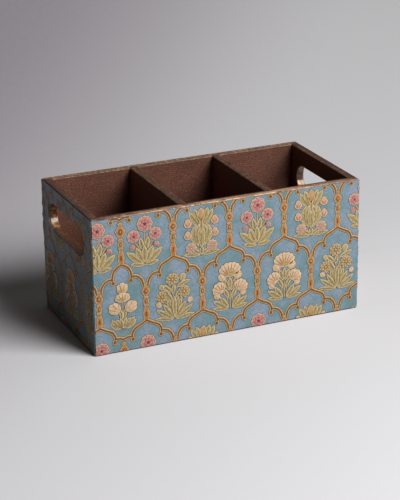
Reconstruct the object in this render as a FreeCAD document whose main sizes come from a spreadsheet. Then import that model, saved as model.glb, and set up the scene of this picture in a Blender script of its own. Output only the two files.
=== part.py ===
# Cutlery organizer: an open-topped box of MDF boards with two fixed dividers and a hand slot in each end.
# The end boards and the base sit in rebates, the dividers in housings, and steel brads hold the glued joints.
# A thin printed sheet covers each outside face. Millimetres; X runs along the box, the front faces -Y,
# and the origin is at the middle of the underside.
import FreeCAD, Part
import math
import os

import Sketcher
from FreeCAD import Placement, Rotation, Vector

doc = FreeCAD.newDocument("CutleryOrganizer")

# Driving dimensions
sizes = doc.addObject("Spreadsheet::Sheet", "Sizes")
DRIVING = {
    "box_length": 250.0,
    "box_width": 124.0,
    "box_height": 121.5,
    "board_thickness": 7.5,
    "base_thickness": 5.5,
    "sheet_thickness": 0.4,
    "sheet_setback": 0.2,
    "sheet_corner_margin": 0.15,
    "corner_rebate": 2.5,
    "base_rebate": 2.5,
    "divider_housing": 2.5,
    "slot_length": 88.0,
    "slot_height": 24.0,
    "slot_below_rim": 15.5,
    "corner_round": 1.0,
    "rim_round": 0.8,
    "slot_round": 0.8,
    "brad_diameter": 1.2,
    "brad_length": 15.0,
    "brad_clearance": 0.05,
    "brad_margin": 8.0,
    "base_brad_inset_along": 16.0,
    "base_brad_inset_across": 24.0,
    "corner_brad_rows": 4,
    "divider_brad_rows": 3,
    "base_brads_along": 4,
    "base_brads_across": 2,
}
for row, (alias, size) in enumerate(DRIVING.items(), 1):
    sizes.set(f"A{row}", alias)
    sizes.set(f"B{row}", str(size))
    sizes.setAlias(f"B{row}", alias)
doc.recompute()

# Places that several pieces share, as expressions of the driving dimensions
OUTER_X = "(Sizes.box_length / 2 - Sizes.sheet_thickness)"
OUTER_Y = "(Sizes.box_width / 2 - Sizes.sheet_thickness)"
INNER_X = f"({OUTER_X} - Sizes.board_thickness)"
INNER_Y = f"({OUTER_Y} - Sizes.board_thickness)"
RIM_Z = "Sizes.box_height"
BASE_TOP = "Sizes.base_thickness"
END_BOARD_END = f"({INNER_Y} + Sizes.corner_rebate)"
BASE_EDGE_X = f"({INNER_X} + Sizes.base_rebate)"
BASE_EDGE_Y = f"({INNER_Y} + Sizes.base_rebate)"
DIVIDER_END = f"({INNER_Y} + Sizes.divider_housing)"
COMPARTMENT_LENGTH = f"((2 * {INNER_X} - 2 * Sizes.board_thickness) / 3)"
DIVIDER_X = f"({COMPARTMENT_LENGTH} / 2 + Sizes.board_thickness / 2)"
SLOT_TOP = f"({RIM_Z} - Sizes.slot_below_rim)"
SLOT_BOTTOM = f"({SLOT_TOP} - Sizes.slot_height)"
SLOT_MIDDLE = f"({SLOT_TOP} - Sizes.slot_height / 2)"
SLOT_ARC_Y = "((Sizes.slot_length - Sizes.slot_height) / 2)"
SHEET_MARGIN_SIDE = "Sizes.sheet_corner_margin"
SHEET_MARGIN_RIM = "(Sizes.rim_round + Sizes.sheet_setback)"
SHEET_MARGIN_SLOT = "(Sizes.slot_round + Sizes.sheet_setback)"

NEAR = 1e-4
HALF_TURN = Placement(Vector(0, 0, 0), Rotation(Vector(0, 0, 1), 180))


def number(expression):
    """The present value of an expression of the driving dimensions."""
    return float(sizes.evalExpression(expression))


def minus(expression):
    """The expression with its sign turned."""
    return f"-({expression})"


def sketch_on(body, name, role, offset):
    """A sketch on one of the body's own origin planes, moved along the plane's normal by an expression."""
    plane = next(feature for feature in body.Origin.OriginFeatures if feature.Role == role)
    sketch = body.newObject("Sketcher::SketchObject", name)
    sketch.AttachmentSupport = [(plane, "")]
    sketch.MapMode = "FlatFace"
    sketch.setExpression("AttachmentOffset.Base.z", offset)
    return sketch


def hold(sketch, kind, geometry, point, expression):
    """Ties one coordinate of a sketch point to an expression."""
    index = sketch.addConstraint(Sketcher.Constraint(kind, geometry, point, number(expression)))
    sketch.setExpression(f"Constraints[{index}]", expression)


def rectangle(sketch, left, bottom, right, top):
    """A closed rectangle whose sides lie at these expressions from the sketch's origin."""
    low = Vector(number(left), number(bottom), 0)
    high = Vector(number(right), number(top), 0)
    corners = [low, Vector(high.x, low.y, 0), high, Vector(low.x, high.y, 0)]
    first = sketch.GeometryCount
    for k in range(4):
        sketch.addGeometry(Part.LineSegment(corners[k], corners[(k + 1) % 4]))
    for k in range(4):
        sketch.addConstraint(Sketcher.Constraint("Coincident", first + k, 2, first + (k + 1) % 4, 1))
        sketch.addConstraint(Sketcher.Constraint(("Horizontal", "Vertical")[k % 2], first + k))
    hold(sketch, "DistanceX", first, 1, left)
    hold(sketch, "DistanceY", first, 1, bottom)
    hold(sketch, "DistanceX", first + 1, 2, right)
    hold(sketch, "DistanceY", first + 1, 2, top)


def stadium(sketch, margin):
    """The hand slot's outline, two straight sides and two half-round ends, larger all round by a margin."""
    radius = f"(Sizes.slot_height / 2 + {margin})"
    middle = number(SLOT_MIDDLE)
    reach = number(SLOT_ARC_Y)
    bend = number(radius)
    quarter = math.pi / 2
    normal = Vector(0, 0, 1)
    near_end = Part.Circle(Vector(reach, middle, 0), normal, bend)
    far_end = Part.Circle(Vector(-reach, middle, 0), normal, bend)
    sketch.addGeometry(Part.ArcOfCircle(near_end, -quarter, quarter))
    sketch.addGeometry(Part.LineSegment(Vector(reach, middle + bend, 0), Vector(-reach, middle + bend, 0)))
    sketch.addGeometry(Part.ArcOfCircle(far_end, quarter, 3 * quarter))
    sketch.addGeometry(Part.LineSegment(Vector(-reach, middle - bend, 0), Vector(reach, middle - bend, 0)))
    for k in range(4):
        sketch.addConstraint(Sketcher.Constraint("Tangent", k, 2, (k + 1) % 4, 1))
    hold(sketch, "DistanceX", 0, 3, SLOT_ARC_Y)
    hold(sketch, "DistanceY", 0, 3, SLOT_MIDDLE)
    hold(sketch, "DistanceX", 2, 3, minus(SLOT_ARC_Y))
    index = sketch.addConstraint(Sketcher.Constraint("Radius", 0, bend))
    sketch.setExpression(f"Constraints[{index}]", radius)


def pad(body, sketch, length, backwards=False):
    """Extrudes a sketch along its normal, or backwards, by an expression."""
    feature = body.newObject("PartDesign::Pad", f"{sketch.Name}Pad")
    feature.Profile = sketch
    feature.setExpression("Length", length)
    feature.Reversed = backwards
    doc.recompute()
    return feature


def pocket(body, sketch, depth, along_normal):
    """Cuts a sketch into the body, along its normal or against it, by an expression or right through."""
    before = body.Shape.Volume
    feature = body.newObject("PartDesign::Pocket", f"{sketch.Name}Pocket")
    feature.Profile = sketch
    feature.Reversed = along_normal
    if depth == "through":
        feature.Type = "ThroughAll"
    else:
        feature.setExpression("Length", depth)
    doc.recompute()
    if body.Shape.Volume >= before:
        raise RuntimeError(f"{feature.Name} cut nothing")
    return feature


def fillet(body, base, name, radius, test):
    """Rounds the edges of a feature whose bounding box passes the test."""
    chosen = [f"Edge{n}" for n, edge in enumerate(base.Shape.Edges, 1) if test(edge.BoundBox)]
    feature = body.newObject("PartDesign::Fillet", name)
    feature.Base = (base, chosen)
    feature.setExpression("Radius", radius)
    doc.recompute()
    return feature


def at(low, high, place):
    """Whether an edge lies flat at a place along one axis."""
    return abs(low - place) < NEAR and abs(high - place) < NEAR


def long_board(name, placement):
    """The front board, or the back one turned half round: rebated ends, housings and a seat for the base."""
    body = doc.addObject("PartDesign::Body", name)
    outline = sketch_on(body, f"{name}Outline", "XZ_Plane", INNER_Y)
    rectangle(outline, minus(OUTER_X), "0", OUTER_X, RIM_Z)
    pad(body, outline, "Sizes.board_thickness")

    joints = sketch_on(body, f"{name}Joints", "XY_Plane", "0")
    rebate_floor = minus(END_BOARD_END)
    rectangle(joints, minus(OUTER_X), rebate_floor, minus(INNER_X), minus(INNER_Y))
    rectangle(joints, INNER_X, rebate_floor, OUTER_X, minus(INNER_Y))
    for centre in (minus(DIVIDER_X), DIVIDER_X):
        left = f"({centre} - Sizes.board_thickness / 2)"
        right = f"({centre} + Sizes.board_thickness / 2)"
        rectangle(joints, left, minus(DIVIDER_END), right, minus(INNER_Y))
    pocket(body, joints, "through", along_normal=True)

    seat = sketch_on(body, f"{name}BaseSeat", "XZ_Plane", INNER_Y)
    rectangle(seat, minus(BASE_EDGE_X), "0", BASE_EDGE_X, BASE_TOP)
    seated = pocket(body, seat, "Sizes.base_rebate", along_normal=True)

    outer_x = number(OUTER_X)
    face_y = -number(OUTER_Y)
    inner_y = -number(INNER_Y)
    rim = number(RIM_Z)
    corner = number("Sizes.corner_round")
    upright = fillet(body, seated, f"{name}Corners", "Sizes.corner_round",
                     lambda box: box.ZLength > rim / 2 and at(box.YMin, box.YMax, face_y))
    fillet(body, upright, f"{name}Rim", "Sizes.rim_round",
           lambda box: at(box.ZMin, box.ZMax, rim) and (
               box.YMax < face_y + corner + NEAR
               or at(box.YMin, box.YMax, inner_y)
               or at(box.XMin, box.XMax, outer_x)
               or at(box.XMin, box.XMax, -outer_x)))
    body.Placement = placement
    return body


def end_board(name, placement):
    """The left end board, or the right one turned half round: a hand slot and a rebate for the base."""
    body = doc.addObject("PartDesign::Body", name)
    outline = sketch_on(body, f"{name}Outline", "YZ_Plane", minus(OUTER_X))
    rectangle(outline, minus(END_BOARD_END), "0", END_BOARD_END, RIM_Z)
    pad(body, outline, "Sizes.board_thickness")

    seat = sketch_on(body, f"{name}BaseSeat", "YZ_Plane", minus(INNER_X))
    rectangle(seat, minus(BASE_EDGE_Y), "0", BASE_EDGE_Y, BASE_TOP)
    pocket(body, seat, "Sizes.base_rebate", along_normal=False)

    slot = sketch_on(body, f"{name}Slot", "YZ_Plane", minus(INNER_X))
    stadium(slot, "0")
    slotted = pocket(body, slot, "through", along_normal=False)

    faces = (-number(OUTER_X), -number(INNER_X))
    rim = number(RIM_Z)
    slot_low = number(SLOT_BOTTOM)
    slot_high = number(SLOT_TOP)
    rimmed = fillet(body, slotted, f"{name}Rim", "Sizes.rim_round",
                    lambda box: at(box.ZMin, box.ZMax, rim) and any(at(box.XMin, box.XMax, x) for x in faces))
    fillet(body, rimmed, f"{name}SlotRound", "Sizes.slot_round",
           lambda box: box.ZMin > slot_low - NEAR and box.ZMax < slot_high + NEAR
           and box.YLength > NEAR and any(at(box.XMin, box.XMax, x) for x in faces))
    body.Placement = placement
    return body


def divider(name, centre):
    """A plain divider standing on the base, its two ends let into the housings."""
    body = doc.addObject("PartDesign::Body", name)
    outline = sketch_on(body, f"{name}Outline", "YZ_Plane", f"({centre} - Sizes.board_thickness / 2)")
    rectangle(outline, minus(DIVIDER_END), BASE_TOP, DIVIDER_END, RIM_Z)
    block = pad(body, outline, "Sizes.board_thickness")
    rim = number(RIM_Z)
    fillet(body, block, f"{name}Rim", "Sizes.rim_round",
           lambda box: at(box.ZMin, box.ZMax, rim) and box.XLength < NEAR)
    return body


def base_board(name):
    """The base, flush with the underside of the walls and seated in their rebates."""
    body = doc.addObject("PartDesign::Body", name)
    outline = sketch_on(body, f"{name}Outline", "XY_Plane", "0")
    rectangle(outline, minus(BASE_EDGE_X), minus(BASE_EDGE_Y), BASE_EDGE_X, BASE_EDGE_Y)
    pad(body, outline, BASE_TOP)
    return body


def long_sheet(name, placement):
    """The printed sheet on the front, or on the back turned half round, trimmed near the corners and rim."""
    body = doc.addObject("PartDesign::Body", name)
    outline = sketch_on(body, f"{name}Outline", "XZ_Plane", OUTER_Y)
    edge = f"({OUTER_X} - {SHEET_MARGIN_SIDE})"
    rectangle(outline, minus(edge), SHEET_MARGIN_RIM, edge, f"({RIM_Z} - {SHEET_MARGIN_RIM})")
    pad(body, outline, "Sizes.sheet_thickness")
    body.Placement = placement
    return body


def end_sheet(name, placement):
    """The printed sheet on the left end, or on the right turned half round, cut out round the hand slot."""
    body = doc.addObject("PartDesign::Body", name)
    outline = sketch_on(body, f"{name}Outline", "YZ_Plane", minus(OUTER_X))
    edge = f"({OUTER_Y} - {SHEET_MARGIN_SIDE})"
    rectangle(outline, minus(edge), SHEET_MARGIN_RIM, edge, f"({RIM_Z} - {SHEET_MARGIN_RIM})")
    pad(body, outline, "Sizes.sheet_thickness", backwards=True)
    window = sketch_on(body, f"{name}Window", "YZ_Plane", minus(OUTER_X))
    stadium(window, SHEET_MARGIN_SLOT)
    pocket(body, window, "through", along_normal=False)
    body.Placement = placement
    return body


def pins(name, diameter, turn, places):
    """A group of straight pins of one diameter, driven from their places along one direction."""
    group = doc.addObject("Part::Compound", name)
    members = []
    for k, place in enumerate(places, 1):
        pin = doc.addObject("Part::Cylinder", f"{name}_{k}")
        pin.Placement = Placement(Vector(0, 0, 0), turn)
        pin.setExpression("Radius", f"({diameter}) / 2")
        pin.setExpression("Height", "Sizes.brad_length")
        for axis, expression in zip("xyz", place):
            pin.setExpression(f"Placement.Base.{axis}", expression)
        members.append(pin)
    group.Links = members
    return group


def spread(low, high, count):
    """Expressions for evenly spaced places from low to high, or for a single one in the middle."""
    shares = [k / (count - 1) for k in range(count)] if count > 1 else [0.5]
    return [f"({low} + ({high} - {low}) * {share})" for share in shares]


def drilled(label, body, tool):
    """A board with the brads' holes cut out of it, under the name of its node."""
    board = doc.addObject("Part::Cut", f"{label}_drilled")
    board.Base = body
    board.Tool = tool
    board.Label = label
    return board


# Brads: each group's direction and its places on the boards' faces
TO_BACK = Rotation(Vector(1, 0, 0), -90)
TO_FRONT = Rotation(Vector(1, 0, 0), 90)
TO_RIGHT = Rotation(Vector(0, 1, 0), 90)
TO_LEFT = Rotation(Vector(0, 1, 0), -90)
FACES = {"front": (minus(OUTER_Y), TO_BACK), "back": (OUTER_Y, TO_FRONT)}
ENDS = {"left": (minus(OUTER_X), TO_RIGHT), "right": (OUTER_X, TO_LEFT)}
END_BOARD_X = f"({OUTER_X} - Sizes.board_thickness / 2)"
SIDES = {"left": minus(END_BOARD_X), "right": END_BOARD_X}
DIVIDERS = {"left": minus(DIVIDER_X), "right": DIVIDER_X}
LOWEST_BRAD = f"({BASE_TOP} + Sizes.brad_margin)"
BELOW_SLOT = f"({SLOT_BOTTOM} - Sizes.brad_margin)"
ABOVE_SLOT = f"({RIM_Z} - Sizes.slot_below_rim / 2)"
HIGHEST_BRAD = f"({RIM_Z} - Sizes.brad_margin)"
BASE_MIDDLE = f"({BASE_TOP} / 2)"
BASE_BRAD_X = f"({INNER_X} - Sizes.base_brad_inset_along)"
BASE_BRAD_Y = f"({INNER_Y} - Sizes.base_brad_inset_across)"

corner_rows = spread(LOWEST_BRAD, BELOW_SLOT, int(number("Sizes.corner_brad_rows")) - 1) + [ABOVE_SLOT]
divider_rows = spread(LOWEST_BRAD, HIGHEST_BRAD, int(number("Sizes.divider_brad_rows")))
base_places_along = spread(minus(BASE_BRAD_X), BASE_BRAD_X, int(number("Sizes.base_brads_along")))
base_places_across = spread(minus(BASE_BRAD_Y), BASE_BRAD_Y, int(number("Sizes.base_brads_across")))

groups = []
for face, (face_y, turn) in FACES.items():
    for side, end_x in SIDES.items():
        places = [(end_x, face_y, z) for z in corner_rows]
        groups.append((f"{face}_{side}_corner_brads", turn, places))
    for side, divider_x in DIVIDERS.items():
        places = [(divider_x, face_y, z) for z in divider_rows]
        groups.append((f"{face}_{side}_divider_brads", turn, places))
    places = [(x, face_y, BASE_MIDDLE) for x in base_places_along]
    groups.append((f"{face}_base_brads", turn, places))
for side, (end_x, turn) in ENDS.items():
    places = [(end_x, y, BASE_MIDDLE) for y in base_places_across]
    groups.append((f"{side}_base_brads", turn, places))

HOLE_DIAMETER = "Sizes.brad_diameter + Sizes.brad_clearance"
subparts = [pins(name, "Sizes.brad_diameter", turn, places) for name, turn, places in groups]
holes = doc.addObject("Part::Compound", "brad_holes")
holes.Links = [pins(f"{name}_hole", HOLE_DIAMETER, turn, places) for name, turn, places in groups]

# Boards
boards = {
    "front_board": long_board("FrontBoard", Placement()),
    "back_board": long_board("BackBoard", HALF_TURN),
    "left_end_board": end_board("LeftEndBoard", Placement()),
    "right_end_board": end_board("RightEndBoard", HALF_TURN),
    "left_divider": divider("LeftDivider", DIVIDERS["left"]),
    "right_divider": divider("RightDivider", DIVIDERS["right"]),
    "base_board": base_board("BaseBoard"),
}
subparts += [drilled(label, body, holes) for label, body in boards.items()]

# Printed sheets
sheets = {
    "front_print_sheet": long_sheet("FrontSheet", Placement()),
    "back_print_sheet": long_sheet("BackSheet", HALF_TURN),
    "left_print_sheet": end_sheet("LeftSheet", Placement()),
    "right_print_sheet": end_sheet("RightSheet", HALF_TURN),
}
for label, sheet in sheets.items():
    sheet.Label = label
    subparts.append(sheet)

# Every object is checked before anything is written
doc.recompute()
for item in doc.Objects:
    if "Invalid" in item.State or "Error" in item.State:
        raise RuntimeError(f"{item.Label} failed: {item.State}")
for item in subparts:
    if item.Shape.isNull() or not item.Shape.isValid():
        raise RuntimeError(f"{item.Label} has no valid shape")

os.makedirs("parts", exist_ok=True)
for item in subparts:
    item.Shape.exportStep(f"parts/{item.Label}.step")
    print(f"{item.Label}: {len(item.Shape.Solids)} solids, {item.Shape.Volume:.1f} mm3")
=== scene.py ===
import math

import bmesh
import bpy
from mathutils import Matrix, Vector


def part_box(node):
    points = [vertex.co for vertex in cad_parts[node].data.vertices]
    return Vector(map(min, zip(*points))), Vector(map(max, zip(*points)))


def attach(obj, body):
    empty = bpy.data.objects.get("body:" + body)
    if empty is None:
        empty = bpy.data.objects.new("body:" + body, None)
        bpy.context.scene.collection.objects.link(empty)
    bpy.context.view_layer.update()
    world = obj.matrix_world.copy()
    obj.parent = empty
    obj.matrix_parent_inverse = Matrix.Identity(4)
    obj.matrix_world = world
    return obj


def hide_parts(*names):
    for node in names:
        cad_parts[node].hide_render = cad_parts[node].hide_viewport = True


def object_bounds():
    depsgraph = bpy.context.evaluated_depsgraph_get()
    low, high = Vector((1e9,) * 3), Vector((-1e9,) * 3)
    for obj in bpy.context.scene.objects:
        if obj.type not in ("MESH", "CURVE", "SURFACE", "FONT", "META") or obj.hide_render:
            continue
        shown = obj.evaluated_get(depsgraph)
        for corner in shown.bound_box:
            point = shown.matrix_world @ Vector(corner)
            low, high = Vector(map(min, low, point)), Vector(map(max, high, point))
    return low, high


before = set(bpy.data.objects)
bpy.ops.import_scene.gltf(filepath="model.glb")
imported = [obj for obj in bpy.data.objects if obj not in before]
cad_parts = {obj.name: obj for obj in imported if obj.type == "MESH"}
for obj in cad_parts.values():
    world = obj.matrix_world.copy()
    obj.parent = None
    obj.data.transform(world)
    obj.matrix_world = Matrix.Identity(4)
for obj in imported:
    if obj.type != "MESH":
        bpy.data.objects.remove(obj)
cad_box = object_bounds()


# Base board
# A panel of 5.5 mm MDF let into rebates along the foot of all four walls, glued and bradded there.
# It is painted brown like the inside of the walls, and brushed along its length.

MM = 0.001
# How a brush draws its streaks out: 1 across the strokes and small along them, for X, Y and Z.
ALONG_LENGTH = (0.06, 1.0, 1.0)


def linear(colour):
    """Turns an sRGB hex colour into the linear colour that a shader socket takes."""
    parts = [int(colour[i:i + 2], 16) / 255 for i in (1, 3, 5)]
    return [p / 12.92 if p <= 0.04045 else ((p + 0.055) / 1.055) ** 2.4 for p in parts] + [1.0]


def add_node(tree, kind, inputs=None, **settings):
    """Adds a node with its settings; an input is a plain value or another node's output."""
    node = tree.nodes.new(kind)
    for name, value in settings.items():
        setattr(node, name, value)
    for name, value in (inputs or {}).items():
        if isinstance(value, bpy.types.NodeSocket):
            tree.links.new(value, node.inputs[name])
        else:
            node.inputs[name].default_value = value
    return node


def new_material(name):
    """Starts a material with an empty node tree."""
    material = bpy.data.materials.new(name)
    material.use_nodes = True
    material.node_tree.nodes.clear()
    return material, material.node_tree


def tinted(tree, under, over, pattern, start, end, most=1.0):
    """Tints one colour with another where a pattern rises from start to end, up to the greatest share."""
    share = add_node(tree, "ShaderNodeMapRange", {
        "Value": pattern, "From Min": start, "From Max": end, "To Max": most,
    })
    return add_node(tree, "ShaderNodeMix", {
        "Factor": share.outputs["Result"], "A": under, "B": over,
    }, data_type="RGBA").outputs["Result"]


def satin_paint(name, brushed, deep="#482A20", light="#694132", speckle="#94695A", cloudy="#432619"):
    """Satin paint on sealed MDF, brown unless told otherwise: fine orange-peel specks, faint streaks along
    the brush strokes, and cloudy patches."""
    material, tree = new_material(name)
    place = add_node(tree, "ShaderNodeTexCoord").outputs["Object"]
    strokes = add_node(tree, "ShaderNodeMapping", {"Vector": place, "Scale": brushed}).outputs["Vector"]
    # Streaks of a fine brush are about 0.4 mm apart; drawn 1.5 mm apart so that they show.
    streak = add_node(tree, "ShaderNodeTexNoise", {"Vector": strokes, "Scale": 1 / (1.5 * MM), "Detail": 2.0})
    # Specks in the paint are about 0.3 mm; drawn at 1 mm so that they show.
    speck = add_node(tree, "ShaderNodeTexNoise", {"Vector": place, "Scale": 1 / (1.0 * MM), "Detail": 3.0})
    cloud = add_node(tree, "ShaderNodeTexNoise", {"Vector": place, "Scale": 1 / (30 * MM), "Detail": 2.0})
    tone = add_node(tree, "ShaderNodeMix", {
        "Factor": streak.outputs["Fac"], "A": linear(deep), "B": linear(light),
    }, data_type="RGBA")
    dusty = tinted(tree, tone.outputs["Result"], linear(speckle), speck.outputs["Fac"], 0.48, 0.68, 0.75)
    shaded = tinted(tree, dusty, linear(cloudy), cloud.outputs["Fac"], 0.35, 0.7, 0.35)
    rough = add_node(tree, "ShaderNodeMapRange", {
        "Value": speck.outputs["Fac"], "To Min": 0.48, "To Max": 0.66,
    })
    skin = add_node(tree, "ShaderNodeBump", {
        "Height": speck.outputs["Fac"], "Strength": 0.25, "Distance": 0.15 * MM,
    })
    paint = add_node(tree, "ShaderNodeBsdfPrincipled", {
        "Base Color": shaded, "Roughness": rough.outputs["Result"],
        "Normal": skin.outputs["Normal"], "IOR": 1.48, "Specular IOR Level": 0.25,
    })
    add_node(tree, "ShaderNodeOutputMaterial", {"Surface": paint.outputs["BSDF"]})
    return material


def finish_node(name, material):
    """Gives a CAD node that stays as it is one procedural material."""
    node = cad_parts[name]
    node.data.materials.clear()
    node.data.materials.append(material)


paint_along_length = satin_paint("brown_paint_along_length", ALONG_LENGTH)
finish_node("base_board", paint_along_length)


# End boards
# Two boards of 7.5 mm MDF between the long walls, each with a routed hand slot whose edges are eased.
# The rim and the slot are rubbed with bronze lacquer; the rest has the brown paint.

SLOT_HEIGHT = 24.0
SLOT_REACH = 32.0
SLOT_MIDDLE = 94.0
SLOT_STEPS = 50
SLOT_EASE = 0.8
SLOT_SPARE = 2.0
ROUTER_BIT = 30.0
RIM_EASE = 0.8
EASE_STEPS = 4
OVERCUT = 1.0
FLUSH = 0.1
BOARD_SMOOTH = math.radians(35)
ALONG_WIDTH = (1.0, 0.06, 1.0)
UPRIGHT = (1.0, 1.0, 0.06)
ROUND_SLOT = (1.0, 0.3, 0.3)


def bronze_lacquer(name, brushed, deep, light, gold, flecks, wear, coat, rubbed_over=()):
    """Bronze lacquer rubbed over the brown paint: streaked along the strokes, flecked, and worn to gold on
    eased edges. flecks and wear are how much gold shows on the flat and on the edges, and coat how much clear
    gloss. rubbed_over lists axes, and the distances from the middle of the box along each, in millimetres,
    between which the rubbing fades in."""
    material, tree = new_material(name)
    place = add_node(tree, "ShaderNodeTexCoord").outputs["Object"]
    strokes = add_node(tree, "ShaderNodeMapping", {"Vector": place, "Scale": brushed}).outputs["Vector"]
    # Strokes of the rubbing cloth are about 0.4 mm apart; drawn 1.2 mm apart so that they show.
    streak = add_node(tree, "ShaderNodeTexNoise", {"Vector": strokes, "Scale": 1 / (1.2 * MM), "Detail": 2.0})
    # Flecks of rubbed bronze are about 0.5 mm; drawn at 3 mm so that they show.
    fleck = add_node(tree, "ShaderNodeTexNoise", {
        "Vector": place, "Scale": 1 / (3 * MM), "Detail": 4.0, "Roughness": 0.7,
    })
    normal = add_node(tree, "ShaderNodeSeparateXYZ", {
        "Vector": add_node(tree, "ShaderNodeNewGeometry").outputs["Normal"],
    })
    # On a flat face one part of the normal is 1; on an eased edge the greatest part is well below it.
    parts = [
        add_node(tree, "ShaderNodeMath", {0: normal.outputs[axis]}, operation="ABSOLUTE").outputs[0]
        for axis in "XYZ"
    ]
    greatest = add_node(tree, "ShaderNodeMath", {
        0: add_node(tree, "ShaderNodeMath", {0: parts[0], 1: parts[1]}, operation="MAXIMUM").outputs[0],
        1: parts[2],
    }, operation="MAXIMUM")
    eased = add_node(tree, "ShaderNodeMapRange", {
        "Value": greatest.outputs[0], "From Min": 0.97, "From Max": 0.85, "To Min": 0.0, "To Max": 1.0,
    })
    worn = add_node(tree, "ShaderNodeMath", {
        0: eased.outputs["Result"],
        1: add_node(tree, "ShaderNodeMapRange", {
            "Value": fleck.outputs["Fac"], "From Min": 0.42, "From Max": 0.6, "To Min": 0.05, "To Max": wear,
        }).outputs["Result"],
    }, operation="MULTIPLY")
    tone = tinted(tree, linear(deep), linear(light), streak.outputs["Fac"], 0.35, 0.65)
    flecked = tinted(tree, tone, linear(gold), fleck.outputs["Fac"], 0.48, 0.66, flecks)
    rubbed = add_node(tree, "ShaderNodeMix", {
        "Factor": worn.outputs[0], "A": flecked, "B": linear(gold),
    }, data_type="RGBA").outputs["Result"]
    for axis, start, end in rubbed_over:
        across = add_node(tree, "ShaderNodeSeparateXYZ", {"Vector": place}).outputs[axis]
        outward = add_node(tree, "ShaderNodeMath", {0: across}, operation="ABSOLUTE").outputs[0]
        rubbed = tinted(tree, linear(deep), rubbed, outward, start * MM, end * MM)
    gilt = add_node(tree, "ShaderNodeMath", {0: worn.outputs[0], 1: 0.6}, operation="MULTIPLY")
    lacquer = add_node(tree, "ShaderNodeBsdfPrincipled", {
        "Base Color": rubbed,
        "Metallic": gilt.outputs[0],
        "Roughness": add_node(tree, "ShaderNodeMapRange", {
            "Value": streak.outputs["Fac"], "To Min": 0.34, "To Max": 0.52,
        }).outputs["Result"],
        "Coat Weight": coat, "Coat Roughness": 0.2, "Specular IOR Level": 0.15, "IOR": 1.5,
    })
    add_node(tree, "ShaderNodeOutputMaterial", {"Surface": lacquer.outputs["BSDF"]})
    return material


def board(name, low, high):
    """Adds a cube at the size and place of a board sawn from sheet stock."""
    bpy.ops.object.select_all(action="DESELECT")
    bpy.ops.mesh.primitive_cube_add(size=1.0, location=[(a + b) / 2 for a, b in zip(low, high)])
    piece = bpy.context.object
    piece.name = piece.data.name = name
    piece.scale = [b - a for a, b in zip(low, high)]
    bpy.ops.object.transform_apply(location=True, rotation=True, scale=True)
    return piece


def pick(piece):
    """Selects one piece and nothing else."""
    bpy.ops.object.select_all(action="DESELECT")
    bpy.context.view_layer.objects.active = piece
    piece.select_set(True)


def ease_edges(piece, rule, radius):
    """Rounds the edges that the rule accepts, as with a router bit of that radius."""
    bpy.ops.object.mode_set(mode="EDIT")
    bpy.ops.mesh.select_mode(type="EDGE")
    bpy.ops.mesh.select_all(action="DESELECT")
    shape = bmesh.from_edit_mesh(piece.data)
    for edge in [e for e in shape.edges if rule(e)]:
        edge.select_set(True)
    bmesh.update_edit_mesh(piece.data)
    bpy.ops.mesh.bevel(offset=radius, segments=EASE_STEPS, profile=0.5, affect="EDGES")
    bpy.ops.object.mode_set(mode="OBJECT")


def cut_away(piece, cutter, keep=False):
    """Cuts the cutter's shape out of the piece and, unless it is kept, deletes the cutter."""
    pick(piece)
    bpy.ops.object.modifier_add(type="BOOLEAN")
    saw = piece.modifiers[-1]
    saw.operation, saw.solver, saw.object = "DIFFERENCE", "EXACT", cutter
    bpy.ops.object.modifier_apply(modifier=saw.name)
    if not keep:
        bpy.data.objects.remove(cutter)


def joint_cut(piece, node):
    """Cuts the rebate or housing that takes another board, running out wherever the two are flush."""
    own_low, own_high = (Vector(corner) for corner in (piece.bound_box[0], piece.bound_box[6]))
    low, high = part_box(node)
    low = [a - OVERCUT * MM if a < own + FLUSH * MM else a for a, own in zip(low, own_low)]
    high = [a + OVERCUT * MM if a > own - FLUSH * MM else a for a, own in zip(high, own_high)]
    cut_away(piece, board("joint_cutter", low, high))


def slot_cutter(x, deep, spare):
    """A stadium-shaped bar through an end board, spare millimetres larger all round than the hand slot."""
    bpy.ops.object.select_all(action="DESELECT")
    bpy.ops.mesh.primitive_circle_add(
        vertices=SLOT_STEPS, radius=(SLOT_HEIGHT / 2 + spare) * MM, fill_type="NGON",
        location=(x - deep / 2, 0, SLOT_MIDDLE * MM), rotation=(0, math.pi / 2, 0),
    )
    cutter = bpy.context.object
    bpy.ops.object.transform_apply(location=True, rotation=True, scale=True)
    for point in cutter.data.vertices:
        point.co.y += math.copysign(SLOT_REACH * MM, point.co.y)
    bpy.ops.object.mode_set(mode="EDIT")
    bpy.ops.mesh.select_all(action="SELECT")
    bpy.ops.mesh.extrude_region_move(TRANSFORM_OT_translate={"value": (deep, 0, 0)})
    bpy.ops.mesh.select_all(action="SELECT")
    bpy.ops.mesh.normals_make_consistent(inside=False)
    bpy.ops.object.mode_set(mode="OBJECT")
    return cutter


def in_slot(point):
    """Whether a point lies by the wall of a hand slot."""
    spread = SLOT_HEIGHT / 2 + SLOT_SPARE
    return abs(point.y) < (SLOT_REACH + spread) * MM and abs(point.z - SLOT_MIDDLE * MM) < spread * MM


def on_slot_edge(edge):
    """Whether an edge runs round the mouth of a hand slot."""
    faces = sorted(abs(face.normal.x) for face in edge.link_faces)
    return faces[0] < 0.1 and faces[-1] > 0.9 and all(in_slot(v.co) for v in edge.verts)


def on_rim(edge):
    """Whether an edge runs from front to back along the rim of the box."""
    start, end = (point.co for point in edge.verts)
    return min(start.z, end.z) > cad_box[1][2] - MM and abs(start.x - end.x) < MM


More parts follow.
